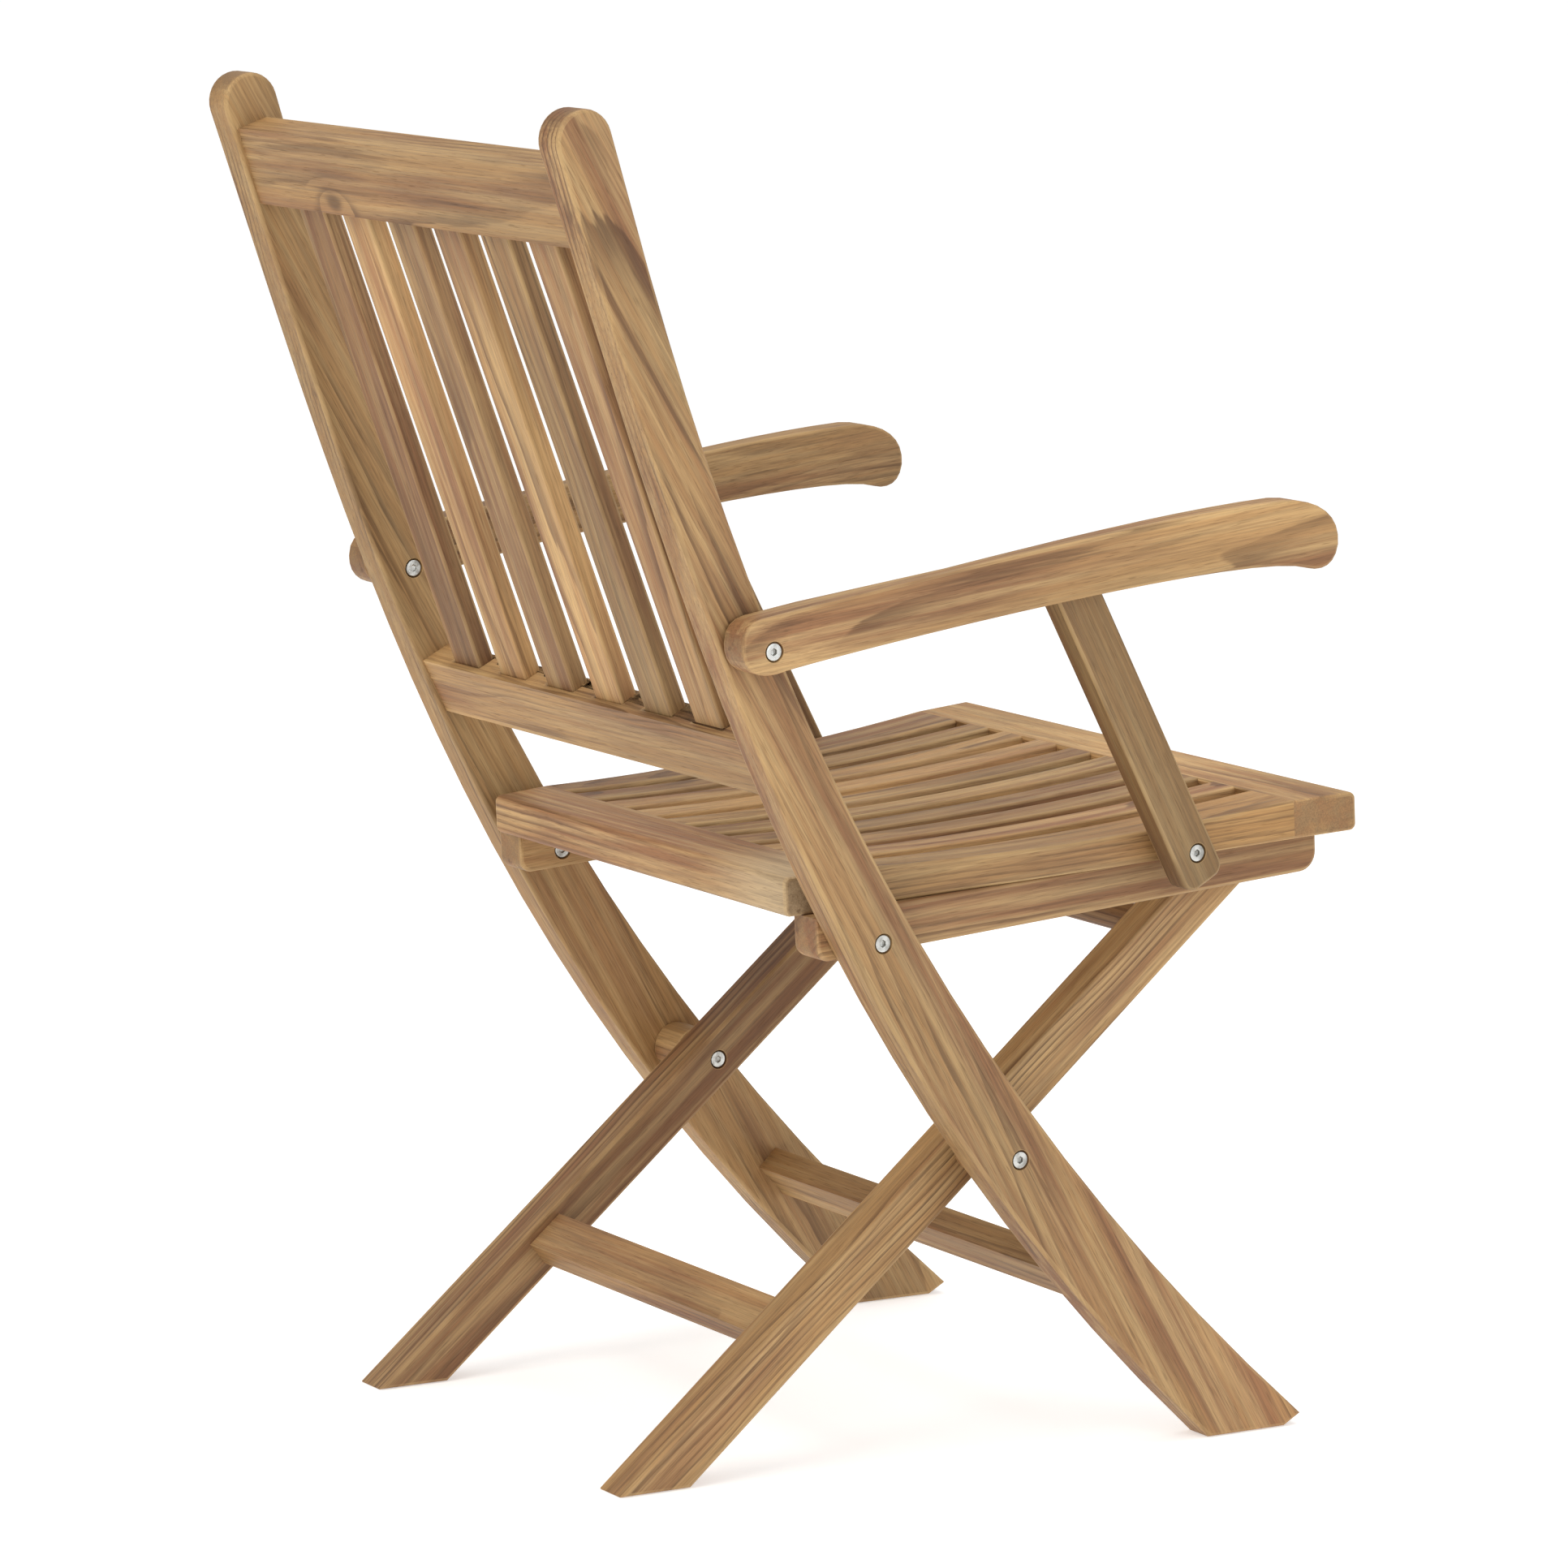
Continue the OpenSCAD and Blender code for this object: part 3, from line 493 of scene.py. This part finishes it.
def piece(node, rule, mat, axes=None, segments=3):
    """Makes the eased board or fitting that stands for a CAD node."""
    bm = copied(node)
    centre, found = board_axes(bm)
    ease(bm, rule, segments)
    mesh = bpy.data.meshes.new("look_" + node)
    bmesh.ops.triangulate(bm, faces=[f for f in bm.faces if len(f.verts) > 4])
    bm.to_mesh(mesh)
    bm.free()
    in_grain = dress(mesh, axes or found, centre, node)
    mesh.materials.append(FEATURES[node](in_grain) if node in FEATURES else mat)
    for p in mesh.polygons:
        p.use_smooth = True
    mesh.set_sharp_from_angle(angle=CREASE)
    obj = bpy.data.objects.new("look_" + node, mesh)
    bpy.context.scene.collection.objects.link(obj)
    weighted = obj.modifiers.new("even_shading", "WEIGHTED_NORMAL")
    weighted.keep_sharp = True
    weighted.weight = 80
    finish_piece(obj, node)


def knotted(place):
    """Teak with a small knot at a place on the board."""
    return lambda in_grain: teak("teak_knot", knot=-in_grain(Vector(place)))


def banded(name, kind, start, end):
    """Teak that turns to another colour between two places along the board."""
    def make(in_grain):
        return teak(name, **{kind: (in_grain(Vector(start)).x, in_grain(Vector(end)).x)})
    return make


TEAK = teak("teak")
STEEL = steel()
top_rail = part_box("back_top_rail")
rear_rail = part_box("seat_rear_rail")
side_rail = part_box("seat_side_rail_right")
KNOT_X = 0.102
KNOT_FROM_REAR = 0.016
KNOT_FROM_LOW = 0.009
SAPWOOD_X = (-0.08, -0.19)
AMBER_Y = (-0.10, -0.20)
# The few boards with a mark of their own: a knot, a strip of sapwood, an amber end.
FEATURES = {
    "back_top_rail": knotted((KNOT_X, top_rail[1].y - KNOT_FROM_REAR, top_rail[0].z + KNOT_FROM_LOW)),
    "seat_rear_rail": banded("teak_sapwood", "sapwood", *[(x, rear_rail[1].y, rear_rail[1].z) for x in SAPWOOD_X]),
    "seat_side_rail_right": banded("teak_amber", "amber", *[(side_rail[0].x, y, side_rail[0].z) for y in AMBER_Y]),
}
X_AXES = [Vector((1, 0, 0)), Vector((0, 1, 0)), Vector((0, 0, 1))]

# The rule for each kind of wooden node. The first start that fits counts, and the other rails have the last rule.
RULES = (
    ("stile_", outline_rule()),
    ("rear_leg_", outline_rule()),
    ("arm_", outline_rule(SOFT_ARRIS)),
    ("seat_cleat", outline_rule()),
    ("back_slat", everywhere(SLAT_ARRIS)),
    ("seat_slat", slat_rule),
    ("seat_side", side_rail_rule),
    ("seat_front_rail", cross_rail_rule),
    ("seat_rear_rail", cross_rail_rule),
    ("rear_stretcher", leg_bar_rule),
    ("leg_crossbar", leg_bar_rule),
    ("leg_spacer", everywhere(SPACER_ARRIS)),
    ("", rail_rule),
)

for node in BODY_OF:
    if SLOT_OF[node] != "stainless":
        rule = next(r for start, r in RULES if node.startswith(start))
        piece(node, rule, TEAK, axes=X_AXES if node.startswith("leg_spacer") else None)

for node in BODY_OF:
    if SLOT_OF[node] == "stainless":
        piece(node, everywhere(STEEL_ARRIS), STEEL, segments=2)

# ---------- floor, light and camera ----------
FLOOR_SIZE = 200
FLOOR_DROP = 0.0005
FLOOR_GLOW = 0.42
FLOOR_SHADES = ((0.86, 0.86, 0.86, 1), (0.9, 0.9, 0.9, 1))
WORLD_LIGHT = 0.68
WHITE = (1, 1, 1, 1)
bpy.ops.mesh.primitive_plane_add(size=FLOOR_SIZE, location=(0, 0, -FLOOR_DROP))
floor = bpy.context.object
floor.name = "floor"
floor_mat, net, shader = material("floor_paper")
speckle = net.noise(net.node("ShaderNodeTexCoord").outputs["Object"], scale=3.0)
net.link(net.mix(speckle, *FLOOR_SHADES), shader.inputs["Base Color"])
shader.inputs["Roughness"].default_value = 0.9
shader.inputs["Emission Color"].default_value = WHITE
shader.inputs["Emission Strength"].default_value = FLOOR_GLOW
floor.data.materials.append(floor_mat)

scene = bpy.context.scene
scene.view_settings.view_transform = "Standard"
world = bpy.data.worlds.new("studio")
scene.world = world
world.use_nodes = True
world.node_tree.nodes.clear()
# The world is seen as plain white, and lights the chair a little less than that.
sky = Net(world.node_tree)
soft = sky.node("ShaderNodeBackground", {"Color": WHITE, "Strength": WORLD_LIGHT})
plain = sky.node("ShaderNodeBackground", {"Color": WHITE, "Strength": 1.0})
seen = sky.node("ShaderNodeLightPath").outputs["Is Camera Ray"]
both = sky.node("ShaderNodeMixShader", {0: seen, 1: soft.outputs[0], 2: plain.outputs[0]})
sky.link(both.outputs[0], sky.node("ShaderNodeOutputWorld").inputs[0])

# Name, place, size, power in watts, and tint.
LAMPS = (
    ("key", (-0.9, 3.2, 3.2), 2.2, 62, (1.0, 0.955, 0.88)),
    ("fill", (-3.6, -0.6, 1.4), 2.5, 32, (0.86, 0.94, 1.0)),
    ("top", (0.2, -0.6, 3.6), 2.0, 34, (1.0, 0.99, 0.97)),
)
LAMP_TARGET = Vector((0, 0, 0.45))
for name, place, size, power, tint in LAMPS:
    light = bpy.data.lights.new(name, "AREA")
    light.size = size
    light.energy = power
    light.color = tint
    lamp = bpy.data.objects.new(name, light)
    lamp.location = place
    lamp.rotation_euler = (LAMP_TARGET - Vector(place)).to_track_quat("-Z", "Y").to_euler()
    scene.collection.objects.link(lamp)

AZIMUTH, ELEVATION, ROLL = (math.radians(a) for a in (236.86, 8.96, 1.36))
CAMERA_PLACE = (-3.7978, 2.4729, 1.1649)
SENSOR_WIDTH = 36
FOCAL_LENGTH = 148.03
away = Vector((math.sin(AZIMUTH) * math.cos(ELEVATION), -math.cos(AZIMUTH) * math.cos(ELEVATION),
               math.sin(ELEVATION)))
right = (-away).cross(Vector((0, 0, 1))).normalized()
up = right.cross(-away)
turned_right = right * math.cos(ROLL) + up * math.sin(ROLL)
turned_up = up * math.cos(ROLL) - right * math.sin(ROLL)
lens = bpy.data.cameras.new("camera")
lens.sensor_width = SENSOR_WIDTH
lens.lens = FOCAL_LENGTH
lens.clip_end = 100
camera = bpy.data.objects.new("camera", lens)
columns = (turned_right, turned_up, away, CAMERA_PLACE)
camera.matrix_world = Matrix([[c[k] for c in columns] for k in range(3)] + [[0, 0, 0, 1]])
scene.collection.objects.link(camera)
scene.camera = camera
